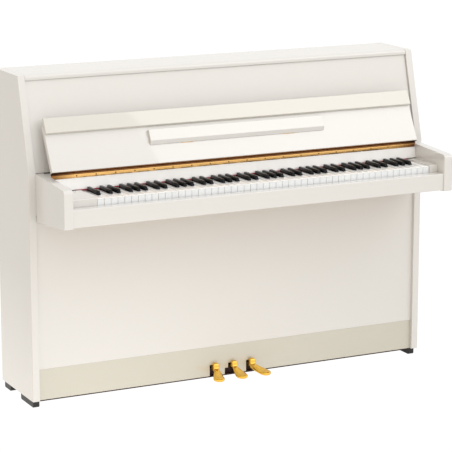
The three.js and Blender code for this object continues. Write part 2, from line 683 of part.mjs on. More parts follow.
function sharpGeometry(natural) {
  const outline = [
    [SHARP_FRONT_Y, KEY_BOTTOM_Z],
    [LEVER_BACK_Y, KEY_BOTTOM_Z],
    [LEVER_BACK_Y, LEVER_TOP_Z],
    [SHARP_BACK_Y, LEVER_TOP_Z],
    [SHARP_BACK_Y, SHARP_TOP_Z],
    [SHARP_FRONT_Y + 5.5, SHARP_TOP_Z],
    [SHARP_FRONT_Y, NATURAL_TOP_Z + 1.5],
  ];
  const x = sharpX(natural);
  return acrossX(outline, x - SHARP_HALF_WIDTH, x + SHARP_HALF_WIDTH);
}

function sharpBank(first, last) {
  const naturals = Array.from({ length: last - first + 1 }, (_, i) => first + i).filter(hasSharpAbove);
  const lowX = sharpX(naturals[0]);
  const highX = sharpX(naturals[naturals.length - 1]);
  const spineY = [COMB_SPINE_FRONT_Y, LEVER_BACK_Y];
  const spine = boxBetween(lowX, highX, ...spineY, KEY_BOTTOM_Z, LEVER_TOP_Z);
  return join([spine, ...naturals.map(sharpGeometry)]);
}

function makeKeys() {
  const octaveFirst = 23; // middle C
  const octaveLast = 29;
  const top = NATURAL_COUNT - 1;
  const bankBackY = COMB_SPINE_FRONT_Y - 1;
  addPart("bass_natural_keys", naturalGeometry(0, octaveFirst - 1, bankBackY), whitePlastic);
  addPart("bass_sharp_keys", sharpBank(0, octaveFirst - 1), blackSharp);
  for (let natural = octaveFirst; natural <= octaveLast; natural += 1) {
    const letter = letterOf(natural).toLowerCase();
    addPart(`key_${letter}4`, naturalGeometry(natural, natural, LEVER_BACK_Y), whitePlastic);
    if (hasSharpAbove(natural)) {
      addPart(`key_${letter}_sharp4`, sharpGeometry(natural), blackSharp);
    }
  }
  addPart("treble_natural_keys", naturalGeometry(octaveLast + 1, top, bankBackY), whitePlastic);
  addPart("treble_sharp_keys", sharpBank(octaveLast + 1, top), blackSharp);
}

makeSidePanels();
makeArms();
makeLid();
makeLidHinge();
makeUpperPanel();
makeLowerPanel();
makeToeRail();
makeBottomBoard();
makeFeet();
makeKeybed();
makeKeyFrame();
makeCheekBlocks();
makeNameboard();
makeFallboard();
makeFallboardHinge();
makePedals();
makeBackFrame();
makeSoundboard();
makeIronPlate();
makeAction();
makeHammers();
makeDampers();
makeMufflerRail();
makeKeys();

export default piano;
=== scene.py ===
"""Looks for a white console upright piano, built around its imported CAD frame. Metres, +Z up."""

import json
import math

import bmesh
import bpy
from mathutils import Matrix, Vector


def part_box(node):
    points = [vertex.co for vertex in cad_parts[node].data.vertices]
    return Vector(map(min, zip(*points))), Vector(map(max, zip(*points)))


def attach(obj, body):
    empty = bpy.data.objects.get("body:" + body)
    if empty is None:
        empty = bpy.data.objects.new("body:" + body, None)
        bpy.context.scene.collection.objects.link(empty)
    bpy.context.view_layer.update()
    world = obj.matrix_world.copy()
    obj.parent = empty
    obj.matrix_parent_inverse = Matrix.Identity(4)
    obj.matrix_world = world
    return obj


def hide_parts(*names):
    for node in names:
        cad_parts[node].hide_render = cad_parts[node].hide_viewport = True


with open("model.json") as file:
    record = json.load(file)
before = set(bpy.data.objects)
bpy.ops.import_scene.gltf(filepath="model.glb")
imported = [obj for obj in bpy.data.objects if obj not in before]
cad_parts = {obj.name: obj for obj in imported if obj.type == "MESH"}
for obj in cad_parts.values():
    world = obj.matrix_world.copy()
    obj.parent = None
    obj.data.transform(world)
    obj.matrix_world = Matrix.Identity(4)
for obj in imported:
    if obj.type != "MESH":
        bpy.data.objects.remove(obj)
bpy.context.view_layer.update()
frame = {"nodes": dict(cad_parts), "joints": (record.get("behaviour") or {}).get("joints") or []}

MM = 0.001
TINY = 0.1 * MM  # points nearer than this count as level with one another
SEAM = 0.25 * MM  # the gap closed where two boards butt
SEAM_WEIGHT = 0.06  # the share of a board's rounding left along a seam
LENS_MM = 162.8
CAMERA_AT = (-3.009, -6.041, 2.033)
CAMERA_TILT = 77.515  # degrees up from straight down
CAMERA_TURN = -26.339  # degrees about the vertical
NATURALS = 52
NOTES = 88
BASS_NOTES = 20  # with copper-wound strings
SINGLE_STRING_NOTES = 10  # the lowest of them, with one string each
LETTERS = "ABCDEFG"
SHARP_OFFSET = {"A": 2.9, "C": -1.9, "D": 1.9, "F": -2.9, "G": 0.0}  # mm from the naturals' line
OCTAVE_FIRST = 23  # middle C, counted in naturals from the lowest
OCTAVE_LAST = 29
FALLBOARD_LEAN = math.radians(27.6)
HINGE_PAINTED_DARK_ENDS = (0.59, 0.665)  # where, out from the middle, a long hinge's brass darkens to its ends: a painted dark reflection
HAMMER_PIVOT = (112, 824)  # y and z in mm
LEDGE_LEAF = (0.0685, 0.0765)  # the ledge hinges' leaves, up the fallboard from its pin
WORLD_LOW = (1.0, 0.965, 0.91)  # the room's light near the horizon
WORLD_HIGH = (1.0, 1.015, 1.03)  # and overhead
WORLD_LEFT = (0.66, 0.59, 0.5)  # how much of it comes from the piano's left
WORLD_RIGHT = (1.0, 1.0, 1.0)
WORLD_FRONT = 1.38
WORLD_BACK = 0.98
WORLD_ACROSS = (-0.95, 0.35)  # where, from left to right, WORLD_LEFT gives way to WORLD_RIGHT
WORLD_DEPTH = 0.6  # and how far from the middle front and back reach their full strength
SEEN_WHITE = 1.05  # what the camera sees of the room and the floor
FLOOR_GLOW = ((-1.4, 0.38), (-0.55, 0.95), (1.1, 0.3))  # its strength at places across the floor
PEDAL_SPLAY = {"left": -17, "middle": 0, "right": 20}  # mm, from the neck to the toe


# ---------------------------------------------------------------- camera, light, floor


def make_camera():
    data = bpy.data.cameras.new("camera")
    data.sensor_width = 36
    data.lens = LENS_MM
    camera = bpy.data.objects.new("camera", data)
    camera.location = CAMERA_AT
    camera.rotation_euler = (math.radians(CAMERA_TILT), 0, math.radians(CAMERA_TURN))
    bpy.context.scene.collection.objects.link(camera)
    bpy.context.scene.camera = camera


def area_light(name, location, target, size, watts):
    data = bpy.data.lights.new(name, "AREA")
    data.shape = "RECTANGLE"
    data.size, data.size_y = size
    data.energy = watts
    light = bpy.data.objects.new(name, data)
    light.location = location
    aim = Vector(target) - Vector(location)
    light.rotation_euler = aim.to_track_quat("-Z", "Y").to_euler()
    bpy.context.scene.collection.objects.link(light)


def make_world():
    """A bright room: brightest in front, warm and dim on the left. The camera sees plain white."""
    world = bpy.data.worlds.new("studio")
    world.use_nodes = True
    nodes, links = world.node_tree.nodes, world.node_tree.links
    direction = nodes.new("ShaderNodeSeparateXYZ")
    links.new(nodes.new("ShaderNodeTexCoord").outputs["Generated"], direction.inputs[0])
    tint = nodes.new("ShaderNodeValToRGB")
    low, high = tint.color_ramp.elements
    low.position, low.color = 0.0, (*WORLD_LOW, 1)
    high.position, high.color = 0.5, (*WORLD_HIGH, 1)
    links.new(direction.outputs["Z"], tint.inputs["Fac"])
    across = nodes.new("ShaderNodeMapRange")
    across.inputs["From Min"].default_value = WORLD_ACROSS[0]
    across.inputs["From Max"].default_value = WORLD_ACROSS[1]
    links.new(direction.outputs["X"], across.inputs["Value"])
    side = nodes.new("ShaderNodeValToRGB")
    left, right = side.color_ramp.elements
    left.color = (*WORLD_LEFT, 1)
    right.color = (*WORLD_RIGHT, 1)
    links.new(across.outputs["Result"], side.inputs["Fac"])
    both = nodes.new("ShaderNodeVectorMath")
    both.operation = "MULTIPLY"
    links.new(tint.outputs["Color"], both.inputs[0])
    links.new(side.outputs["Color"], both.inputs[1])
    depth = nodes.new("ShaderNodeMapRange")
    depth.inputs["From Min"].default_value = -WORLD_DEPTH
    depth.inputs["From Max"].default_value = WORLD_DEPTH
    depth.inputs["To Min"].default_value = WORLD_FRONT
    depth.inputs["To Max"].default_value = WORLD_BACK
    links.new(direction.outputs["Y"], depth.inputs["Value"])
    room = nodes["Background"]
    links.new(both.outputs[0], room.inputs["Color"])
    links.new(depth.outputs["Result"], room.inputs["Strength"])
    seen = nodes.new("ShaderNodeBackground")
    seen.inputs["Color"].default_value = (1, 1, 1, 1)
    seen.inputs["Strength"].default_value = SEEN_WHITE
    mix = nodes.new("ShaderNodeMixShader")
    links.new(nodes.new("ShaderNodeLightPath").outputs["Is Camera Ray"], mix.inputs["Fac"])
    links.new(room.outputs[0], mix.inputs[1])
    links.new(seen.outputs[0], mix.inputs[2])
    links.new(mix.outputs[0], nodes["World Output"].inputs["Surface"])
    bpy.context.scene.world = world


def make_studio():
    bpy.context.scene.view_settings.view_transform = "Standard"
    make_world()
    area_light("front_softbox", (2.9, -3.4, 4.4), (0.1, 0, 0.8), (2.0, 1.6), 15)
    area_light("top_softbox", (0, -0.9, 3.9), (0, -0.1, 0.8), (2.4, 1.0), 3.5)

    bm = bmesh.new()
    bmesh.ops.create_grid(bm, x_segments=1, y_segments=1, size=30)
    floor = new_object("studio_floor", bm, [material_floor()], smooth=False)


# ---------------------------------------------------------------- material helpers


class Shader:
    """A new material's node tree, with its Principled BSDF, in object coordinates (metres)."""

    def __init__(self, name, color, roughness, metallic=0.0):
        self.material = bpy.data.materials.new(name)
        self.material.use_nodes = True
        self.nodes = self.material.node_tree.nodes
        self.links = self.material.node_tree.links
        self.bsdf = self.nodes["Principled BSDF"]
        self.set("Base Color", (*color, 1))
        self.set("Roughness", roughness)
        self.set("Metallic", metallic)
        self.coords = self.nodes.new("ShaderNodeTexCoord").outputs["Object"]

    def set(self, socket, value):
        self.bsdf.inputs[socket].default_value = value

    def scaled(self, scale):
        mapping = self.nodes.new("ShaderNodeMapping")
        mapping.inputs["Scale"].default_value = scale
        self.links.new(self.coords, mapping.inputs["Vector"])
        return mapping.outputs["Vector"]

    def noise(self, scale, detail=3.0, stretch=None):
        texture = self.nodes.new("ShaderNodeTexNoise")
        texture.inputs["Scale"].default_value = scale
        texture.inputs["Detail"].default_value = detail
        source = self.scaled(stretch) if stretch else self.coords
        self.links.new(source, texture.inputs["Vector"])
        return texture.outputs["Fac"]

    def ramp(self, value, low, high, dark, light):
        """Maps value from low..high to the colours dark..light."""
        node = self.nodes.new("ShaderNodeValToRGB")
        first, last = node.color_ramp.elements
        first.position, first.color = low, (*dark, 1)
        last.position, last.color = high, (*light, 1)
        self.links.new(value, node.inputs["Fac"])
        return node.outputs["Color"]

    def spread(self, value, low, high):
        """Maps value from 0.3..0.7, where noise mostly lies, to low..high."""
        node = self.nodes.new("ShaderNodeMapRange")
        node.inputs["From Min"].default_value = 0.3
        node.inputs["From Max"].default_value = 0.7
        node.inputs["To Min"].default_value = low
        node.inputs["To Max"].default_value = high
        self.links.new(value, node.inputs["Value"])
        return node.outputs["Result"]

    def bump(self, height, strength, distance):
        node = self.nodes.new("ShaderNodeBump")
        node.inputs["Strength"].default_value = strength
        node.inputs["Distance"].default_value = distance
        self.links.new(height, node.inputs["Height"])
        self.links.new(node.outputs["Normal"], self.bsdf.inputs["Normal"])

    def color(self, source):
        self.links.new(source, self.bsdf.inputs["Base Color"])

    def roughness(self, source):
        self.links.new(source, self.bsdf.inputs["Roughness"])


def material_floor():
    """A white sweep lit from below, brighter to the piano's left. The camera sees plain white."""
    shader = Shader("studio_floor", (0.4, 0.395, 0.385), 0.8)
    across = shader.nodes.new("ShaderNodeSeparateXYZ")
    shader.links.new(shader.coords, across.inputs[0])
    start, end = FLOOR_GLOW[0][0], FLOOR_GLOW[-1][0]
    place_in = shader.nodes.new("ShaderNodeMapRange")
    place_in.inputs["From Min"].default_value = start
    place_in.inputs["From Max"].default_value = end
    shader.links.new(across.outputs["X"], place_in.inputs["Value"])
    glow = shader.nodes.new("ShaderNodeValToRGB")
    stops = glow.color_ramp.elements
    stops.new(0.5)
    for stop, (x, strength) in zip(stops, FLOOR_GLOW):
        stop.position = (x - start) / (end - start)
        stop.color = (strength, strength, strength, 1)
    shader.links.new(place_in.outputs["Result"], glow.inputs["Fac"])
    shader.links.new(glow.outputs["Color"], shader.bsdf.inputs["Emission Strength"])
    shader.set("Emission Color", (1.0, 0.98, 0.95, 1))
    shader.bump(shader.noise(40), 0.03, 0.001)
    seen = shader.nodes.new("ShaderNodeEmission")
    seen.inputs["Strength"].default_value = SEEN_WHITE
    mix = shader.nodes.new("ShaderNodeMixShader")
    ray = shader.nodes.new("ShaderNodeLightPath")
    shader.links.new(ray.outputs["Is Camera Ray"], mix.inputs["Fac"])
    shader.links.new(shader.bsdf.outputs[0], mix.inputs[1])
    shader.links.new(seen.outputs[0], mix.inputs[2])
    shader.links.new(mix.outputs[0], shader.nodes["Material Output"].inputs["Surface"])
    return shader.material


def material_lacquer(name="polished_ivory_lacquer", shade=(0.72, 0.703, 0.675)):
    """Polished polyester: a clear, hard gloss over a very even warm white."""
    shader = Shader(name, shade, 0.3)
    darker = tuple(channel * 0.994 for channel in shade)
    shader.color(shader.ramp(shader.noise(1.4, 2), 0.15, 0.85, darker, shade))
    shader.roughness(shader.spread(shader.noise(6, 3), 0.28, 0.31))
    shader.set("Coat Weight", 1.0)
    shader.set("Coat Roughness", 0.03)
    shader.set("Coat IOR", 1.55)
    return shader.material


def material_key_top():
    """Glossy acrylic key covering, faintly mottled as hands leave it."""
    shader = Shader("natural_key_acrylic", (0.98, 0.98, 0.97), 0.2)
    shader.color(shader.ramp(shader.noise(9, 2), 0.3, 0.7, (0.97, 0.97, 0.96), (0.985, 0.985, 0.98)))
    shader.roughness(shader.spread(shader.noise(20, 2), 0.16, 0.24))
    shader.set("Coat Weight", 1.0)
    shader.set("Coat Roughness", 0.06)
    shader.set("Coat IOR", 1.6)
    return shader.material


def material_key_front():
    shader = Shader("natural_key_front", (0.86, 0.89, 0.91), 0.26)
    shader.color(shader.ramp(shader.noise(14, 2), 0.3, 0.7, (0.84, 0.87, 0.895), (0.875, 0.9, 0.92)))
    shader.roughness(shader.spread(shader.noise(90, 3), 0.2, 0.34))
    return shader.material


def material_sharp():
    """Black phenolic sharps, polished, with a faint drawn grain along their length."""
    shader = Shader("sharp_key_black", (0.006, 0.006, 0.007), 0.2)
    grain = shader.noise(120, 4, (3, 0.15, 3))
    shader.color(shader.ramp(grain, 0.3, 0.7, (0.004, 0.004, 0.005), (0.009, 0.009, 0.01)))
    shader.roughness(shader.spread(grain, 0.2, 0.28))
    shader.set("IOR", 1.22)
    return shader.material


def material_brass(name, roughness, tint=(0.83, 0.55, 0.2), ends=None):
    """Polished brass with fine wiping scratches and slightly uneven tarnish.

    ends is the colour it darkens to over the last few centimetres of a long hinge: a painted dark
    reflection.
    """
    shader = Shader(name, tint, roughness, 1.0)
    darker = tuple(channel * 0.9 for channel in tint)
    face = shader.ramp(shader.noise(18, 4), 0.3, 0.7, darker, tint)
    # painted dark reflection: the colour fades to ends towards a long hinge's ends
    if ends:
        across = shader.nodes.new("ShaderNodeSeparateXYZ")
        shader.links.new(shader.coords, across.inputs[0])
        away = shader.nodes.new("ShaderNodeMath")
        away.operation = "ABSOLUTE"
        shader.links.new(across.outputs["X"], away.inputs[0])
        fade = shader.nodes.new("ShaderNodeMapRange")
        fade.inputs["From Min"].default_value = HINGE_PAINTED_DARK_ENDS[0]
        fade.inputs["From Max"].default_value = HINGE_PAINTED_DARK_ENDS[1]
        shader.links.new(away.outputs[0], fade.inputs["Value"])
        blend = shader.nodes.new("ShaderNodeMix")
        blend.data_type = "RGBA"
        blend.inputs[7].default_value = (*ends, 1)
        shader.links.new(fade.outputs["Result"], blend.inputs[0])
        shader.links.new(face, blend.inputs[6])
        face = blend.outputs[2]
    shader.color(face)
    scratch = shader.noise(260, 3, (0.25, 2, 2))
    shader.roughness(shader.spread(scratch, roughness * 0.8, roughness * 1.25))
    shader.bump(scratch, 0.03, 0.00005)
    return shader.material


def material_wood(name, dark, light, grain_axis, roughness):
    """Straight-grained wood. grain_axis is the axis (0, 1 or 2) that the fibres run along."""
    shader = Shader(name, light, roughness)
    stretch = [9.0, 9.0, 9.0]
    stretch[grain_axis] = 0.35
    rings = shader.noise(9, 6, stretch)
    fibres = shader.noise(60, 3, [value * 1.2 for value in stretch])
    mix = shader.nodes.new("ShaderNodeMix")
    mix.data_type = "FLOAT"
    mix.inputs[0].default_value = 0.35
    shader.links.new(rings, mix.inputs[2])
    shader.links.new(fibres, mix.inputs[3])
    shader.color(shader.ramp(mix.outputs[0], 0.34, 0.66, dark, light))
    shader.roughness(shader.spread(fibres, roughness * 0.85, roughness * 1.15))
    shader.bump(fibres, 0.15, 0.0004)
    return shader.material


def material_felt(name, color):
    """Dense wool felt: short matted fibres and a soft sheen."""
    fibres = 700
    shader = Shader(name, color, 0.95)
    dark = tuple(channel * 0.7 for channel in color)
    shader.color(shader.ramp(shader.noise(fibres, 6), 0.3, 0.7, dark, color))
    shader.set("Sheen Weight", 0.4)
    shader.set("Sheen Roughness", 0.5)
    shader.bump(shader.noise(fibres * 1.6, 4), 0.5, 0.0006)
    return shader.material


def material_gold_iron():
    """Cast iron under bronze-gold lacquer, slightly pebbled by the casting."""
    shader = Shader("gold_lacquered_iron", (0.62, 0.43, 0.16), 0.42, 0.75)
    pebble = shader.noise(180, 4)
    shader.color(shader.ramp(shader.noise(12, 3), 0.3, 0.7, (0.54, 0.37, 0.13), (0.66, 0.47, 0.19)))
    shader.roughness(shader.spread(pebble, 0.36, 0.5))
    shader.bump(pebble, 0.25, 0.0006)
    return shader.material


def material_steel(name, color=(0.6, 0.61, 0.63), roughness=0.28):
    shader = Shader(name, color, roughness, 1.0)
    drawn = shader.noise(300, 3, (2, 2, 0.1))
    shader.roughness(shader.spread(drawn, roughness * 0.8, roughness * 1.3))
    shader.bump(drawn, 0.08, 0.0001)
    return shader.material


def material_copper():
    shader = Shader("wound_string_copper", (0.78, 0.38, 0.2), 0.3, 1.0)
    shader.bump(shader.noise(900, 1, (0.1, 0.1, 3)), 0.5, 0.0003)
    return shader.material


def material_black_plastic():
    shader = Shader("black_foot", (0.012, 0.012, 0.012), 0.42)
    pebble = shader.noise(420, 3)
    shader.roughness(shader.spread(pebble, 0.34, 0.52))
    shader.bump(pebble, 0.25, 0.0004)
    return shader.material


# ---------------------------------------------------------------- mesh helpers


def new_object(name, bm, materials, smooth=True, sharp_degrees=35):
    """Closes a bmesh into an object. Edges sharper than sharp_degrees stay crisp."""
    bmesh.ops.recalc_face_normals(bm, faces=bm.faces)
    for face in bm.faces:
        face.smooth = smooth
    limit = math.radians(sharp_degrees)
    for edge in bm.edges:
        edge.smooth = len(edge.link_faces) != 2 or edge.calc_face_angle(0) < limit
    mesh = bpy.data.meshes.new(name)
    bm.to_mesh(mesh)
    bm.free()
    for material in materials:
        mesh.materials.append(material)
    obj = bpy.data.objects.new(name, mesh)
    bpy.context.scene.collection.objects.link(obj)
    return obj


def soften(obj, width, segments, weighted):
    """Rounds an object's edges with a bevel whose flat faces stay flat in the shading."""
    bevel = obj.modifiers.new("edge_rounding", "BEVEL")
    bevel.width = width
    bevel.segments = segments
    bevel.limit_method = "WEIGHT" if weighted else "ANGLE"
    bevel.angle_limit = math.radians(30)
    bevel.use_clamp_overlap = True
    bevel.harden_normals = False
    normals = obj.modifiers.new("flat_faces", "WEIGHTED_NORMAL")
    normals.mode = "FACE_AREA"
    normals.weight = 50
    normals.keep_sharp = False
    return obj


def extrude_outline(bm, outline, depth, material_index=0):
    """Adds a closed prism: outline is a list of 3-D points, depth the vector it is carried along."""
    depth = Vector(depth)
    low = [bm.verts.new(point) for point in outline]
    high = [bm.verts.new(Vector(point) + depth) for point in outline]
    count = len(outline)
    faces = [bm.faces.new(low), bm.faces.new(list(reversed(high)))]
    for i in range(count):
        j = (i + 1) % count
        faces.append(bm.faces.new((low[i], high[i], high[j], low[j])))
    for face in faces:
        face.material_index = material_index
    return faces


def add_box(bm, low, high, material_index=0):
    x0, y0, z0 = low
    x1, y1, z1 = high
    outline = [(x0, y0, z0), (x1, y0, z0), (x1, y1, z0), (x0, y1, z0)]
    return extrude_outline(bm, outline, (0, 0, z1 - z0), material_index)


def round_edges(bm, faces, width, segments=2, only=None):
    """Bevels the edges of some faces; only(edge) may pick among them."""
    edges = {edge for face in faces for edge in face.edges if only is None or only(edge)}
    bmesh.ops.bevel(
        bm,
        geom=list(edges),
        offset=width,
        segments=segments,
        profile=0.5,
        affect="EDGES",
        clamp_overlap=True,
    )


def add_rod(bm, start, end, radius, sides=12, material_index=0, end_radius=None):
    """A closed round rod between two points, tapered when end_radius is given."""
    start, end = Vector(start), Vector(end)
    axis = end - start
    turn = Vector((0, 0, 1)).rotation_difference(axis)
    place = Matrix.Translation((start + end) / 2) @ turn.to_matrix().to_4x4()
    made = bmesh.ops.create_cone(
        bm,
        cap_ends=True,
        segments=sides,
        radius1=radius,
        radius2=radius if end_radius is None else end_radius,
        depth=axis.length,
        matrix=place,
    )
    for face in {face for vert in made["verts"] for face in vert.link_faces}:
        face.material_index = material_index


def add_loft(bm, rings, material_index=0):
    """A closed skin through rings of the same number of points, capped at both ends."""
    loops = [[bm.verts.new(point) for point in ring] for ring in rings]
    faces = [bm.faces.new(loops[0]), bm.faces.new(list(reversed(loops[-1])))]
    count = len(loops[0])
    for lower, upper in zip(loops, loops[1:]):
        for i in range(count):
            j = (i + 1) % count
            faces.append(bm.faces.new((lower[i], upper[i], upper[j], lower[j])))
    for face in faces:
        face.material_index = material_index
    return faces


def close_seams(bm, node, seams):
    """Carries a board's butting faces over to its neighbour. Returns them as (axis, place) pairs."""
    low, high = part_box(node)
    planes = []
    for letter, end in seams:
        axis = "xyz".index(letter)
        edge, step = (high[axis], SEAM) if end == "+" else (low[axis], -SEAM)
        for vert in bm.verts:
            if abs(vert.co[axis] - edge) < SEAM:
                vert.co[axis] = edge + step
        planes.append((axis, edge + step))
    return planes


def weigh_edges(bm, ends, planes):
    """Marks how far each edge is rounded: along x in full, others by ends (0 to 1), seams hardly."""
    layer = bm.edges.layers.float.new("bevel_weight_edge")
    for edge in bm.edges:
        if len(edge.link_faces) != 2 or edge.calc_face_angle(0) < math.radians(30):
            continue
        start, end = (vert.co for vert in edge.verts)
        way = (end - start).normalized()
        edge[layer] = 1.0 if abs(way.x) > 0.9 else ends
        if any(max(abs(start[axis] - at), abs(end[axis] - at)) < SEAM for axis, at in planes):
            edge[layer] = SEAM_WEIGHT


def cad_copy(node, name, materials, body, width, segments=3, ends=1.0, seams=()):
    """A polished stand-in for a CAD board: its own faces, merged flat, with rounded edges.

    seams name the faces that butt against a neighbour, such as z+ for the top.
    """
    bm = bmesh.new()
    bm.from_mesh(frame["nodes"][node].data)
    bmesh.ops.remove_doubles(bm, verts=bm.verts, dist=0.00002)
    bmesh.ops.dissolve_limit(bm, angle_limit=math.radians(0.5), verts=bm.verts, edges=bm.edges)
    weighted = ends < 1.0 or len(seams) > 0
    if weighted:
        weigh_edges(bm, ends, close_seams(bm, node, seams))
    obj = new_object(name, bm, materials, sharp_degrees=180)
    soften(obj, width, segments, weighted)
    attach(obj, body)
    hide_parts(node)
    return obj


def place(obj, body, slot, *nodes):
    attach(obj, body)
    if nodes:
        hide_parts(*nodes)


def joint_pin(name):
    """A point on a joint's axis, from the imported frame."""
    return Vector(next(joint for joint in frame["joints"] if joint["name"] == name)["pos_m"])


# ---------------------------------------------------------------- case


def make_case(lacquer, beech, spruce, stain_and_painted_shade):
    # body, rounding in mm, share of it on edges not along x, faces that butt against a neighbour
    boards = {
        "side_panel_left": ("case", 1.6, 1.0, ["x+"]),
        "side_panel_right": ("case", 1.6, 1.0, ["x-"]),
        "arm_left": ("case", 2.6, 1.0, ["z+"]),
        "arm_right": ("case", 2.6, 1.0, ["z+"]),
        "upper_front_panel": ("case", 0.6, 0.2, ["z+"]),
        "lower_front_panel": ("case", 0.6, 0.2, ["z-"]),
        "toe_rail": ("case", 1.6, 0.3, ["z+"]),
        "key_slip": ("case", 3.0, 0.1, []),
        "cheek_block_left": ("case", 3.0, 0.1, []),
        "cheek_block_right": ("case", 3.0, 0.1, []),
        "nameboard": ("case", 1.0, 0.2, []),
        "top_lid": ("lid", 1.0, 0.5, []),
        "fallboard": ("fallboard", 1.6, 0.8, []),
        "fallboard_lip": ("lip", 2.2, 0.8, []),
        "music_ledge": ("ledge", 1.4, 0.8, []),
    }
    # copies of the one lacquer with light and shade painted in: the toe rail and the lip darker and
    # yellower, painted shade; the nameboard lighter, painted light
    painted_light_and_shade_lacquers = {
        "toe_rail": material_lacquer("toe_rail_lacquer_painted_shade", (0.595, 0.57, 0.49)),
        "fallboard_lip": material_lacquer("lip_lacquer_painted_shade", (0.66, 0.637, 0.575)),
        "nameboard": material_lacquer("nameboard_lacquer_painted_light", (0.97, 0.965, 0.955)),
    }
    for node, (body, rounding, ends, seams) in boards.items():
        coat = painted_light_and_shade_lacquers.get(node, lacquer)
        obj = cad_copy(node, f"{node}_polished", [coat], body, rounding * MM, 4, ends, seams)
    for node in ("keybed", "action_rail", "back_frame_and_pinblock"):
        cad_copy(node, f"{node}_wood", [beech], "case", 0.0012, 2)
    for node in ("key_frame", "soundboard_with_bridges"):
        cad_copy(node, f"{node}_wood", [spruce], "case", 0.001, 2)
    # the board's near-black colour is partly its own dark paint and partly painted shade: its edge
    # under the toe rail stands in for the shadow line there
    board = cad_copy("bottom_board", "bottom_board_stained_and_shaded", [stain_and_painted_shade], "case", 0.0008, 2)


def make_feet(black):
    for side in ("front_foot_left", "front_foot_right", "rear_foot_left", "rear_foot_right"):
        cad_copy(side, f"{side}_moulded", [black], "case", 0.0025)


# ---------------------------------------------------------------- keys


def letter_of(natural):
    return LETTERS[natural % len(LETTERS)]


def has_sharp_above(natural):
    return 0 <= natural < NATURALS - 1 and letter_of(natural) in SHARP_OFFSET


class Keyboard:
    """Where the keys are, read from the CAD banks."""

    def __init__(self):
        low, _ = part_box("bass_natural_keys")
        _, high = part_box("treble_natural_keys")
        self.gap = 0.5 * MM
        self.left = low.x - self.gap
        self.pitch = (high.x - low.x + 2 * self.gap) / NATURALS
        self.front, self.bottom, self.top = low.y, low.z, high.z
        sharp_low, sharp_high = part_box("treble_sharp_keys")
        self.sharp_front = sharp_low.y
        self.sharp_top = sharp_high.z
        self.back = sharp_high.y
        self.sharp_half = 6.85 * MM
        self.slot_half = 7.9 * MM
        self.sharp_back = -86 * MM
        self.slot_front = self.sharp_front - 1.5 * MM

    def sharp_x(self, natural):
        line = self.left + (natural + 1) * self.pitch
        return line + SHARP_OFFSET[letter_of(natural)] * MM

    def plan(self, natural, front, back, grow=0.0):
        """Plan outline of one natural as (x, y) points, inset by grow on its sides."""
        x0 = self.left + natural * self.pitch + self.gap + grow
        x1 = self.left + (natural + 1) * self.pitch - self.gap - grow
        slot_y = self.slot_front
        outline = [(x0, front), (x1, front)]
        if has_sharp_above(natural):
            tail = self.sharp_x(natural) - self.slot_half - grow
            outline += [(x1, slot_y), (tail, slot_y), (tail, back)]
        else:
            outline += [(x1, back)]
        if has_sharp_above(natural - 1):
            tail = self.sharp_x(natural - 1) + self.slot_half + grow
            outline += [(tail, back), (tail, slot_y), (x0, slot_y)]
        else:
            outline += [(x0, back)]
        return outline


def add_natural(bm, keys, natural):
    """A wooden lever with an acrylic top plate, whose front edge overhangs, and a front sheet."""
    plate = 2.6 * MM
    overhang = 1.6 * MM
    top_back = -62 * MM
    outline = [(x, y, keys.top - plate) for x, y in keys.plan(natural, keys.front, top_back)]
    faces = extrude_outline(bm, outline, (0, 0, plate), 0)

    def is_rim(edge):
        upper = min(vert.co.z for vert in edge.verts) > keys.top - TINY
        front = max(vert.co.y for vert in edge.verts) < keys.front + TINY
        return upper or front

    round_edges(bm, faces, 0.7 * MM, 3, is_rim)
    x0 = keys.left + natural * keys.pitch + keys.gap
    x1 = x0 + keys.pitch - 2 * keys.gap
    slot_y = keys.slot_front
    sheet = add_box(
        bm,
        (x0 + 0.1 * MM, keys.front + overhang, keys.bottom),
        (x1 - 0.1 * MM, keys.front + overhang + 2 * MM, keys.top - plate),
        1,
    )
    round_edges(bm, sheet, 0.3 * MM, 1)
    add_box(
        bm,
        (x0 + 0.2 * MM, keys.front + overhang + 2 * MM, keys.bottom),
        (x1 - 0.2 * MM, slot_y, keys.top - plate),
        2,
    )
    lever = keys.plan(natural, slot_y, keys.back, 0.2 * MM)
    tail = [x for x, y in lever if y > slot_y + TINY]
    left, right = min(tail), max(tail)
    add_box(bm, (left, slot_y, keys.bottom), (right, keys.back, keys.top - plate), 2)


def add_sharp(bm, keys, natural):
    """A black head, narrower at the top, with a sloped and rounded front, on a wooden lever."""
    x = keys.sharp_x(natural)
    foot = keys.top - 1.0 * MM
    half = keys.sharp_half
    top_half = 4.9 * MM
    slope = 5.5 * MM
    low = [
        (x - half, keys.sharp_front, foot),
        (x + half, keys.sharp_front, foot),
        (x + half, keys.sharp_back, foot),
        (x - half, keys.sharp_back, foot),
    ]
    high = [
        (x - top_half, keys.sharp_front + slope, keys.sharp_top),
        (x + top_half, keys.sharp_front + slope, keys.sharp_top),
        (x + top_half, keys.sharp_back - 0.5 * MM, keys.sharp_top),
        (x - top_half, keys.sharp_back - 0.5 * MM, keys.sharp_top),
    ]
    faces = add_loft(bm, [low, high], 0)
    round_edges(bm, faces, 1.3 * MM, 3, lambda edge: max(v.co.z for v in edge.verts) > foot + 0.001)
    stick_front = (x - half, keys.sharp_front + 0.5 * MM, keys.bottom)
    add_box(bm, stick_front, (x + half, keys.back, foot), 1)


def key_object(name, naturals, kind, keys, materials, body, node):
    bm = bmesh.new()
    for natural in naturals:
        if kind == "natural":
            add_natural(bm, keys, natural)
        elif has_sharp_above(natural):
            add_sharp(bm, keys, natural)
    place(new_object(name, bm, materials), body, f"{kind}_key", node)


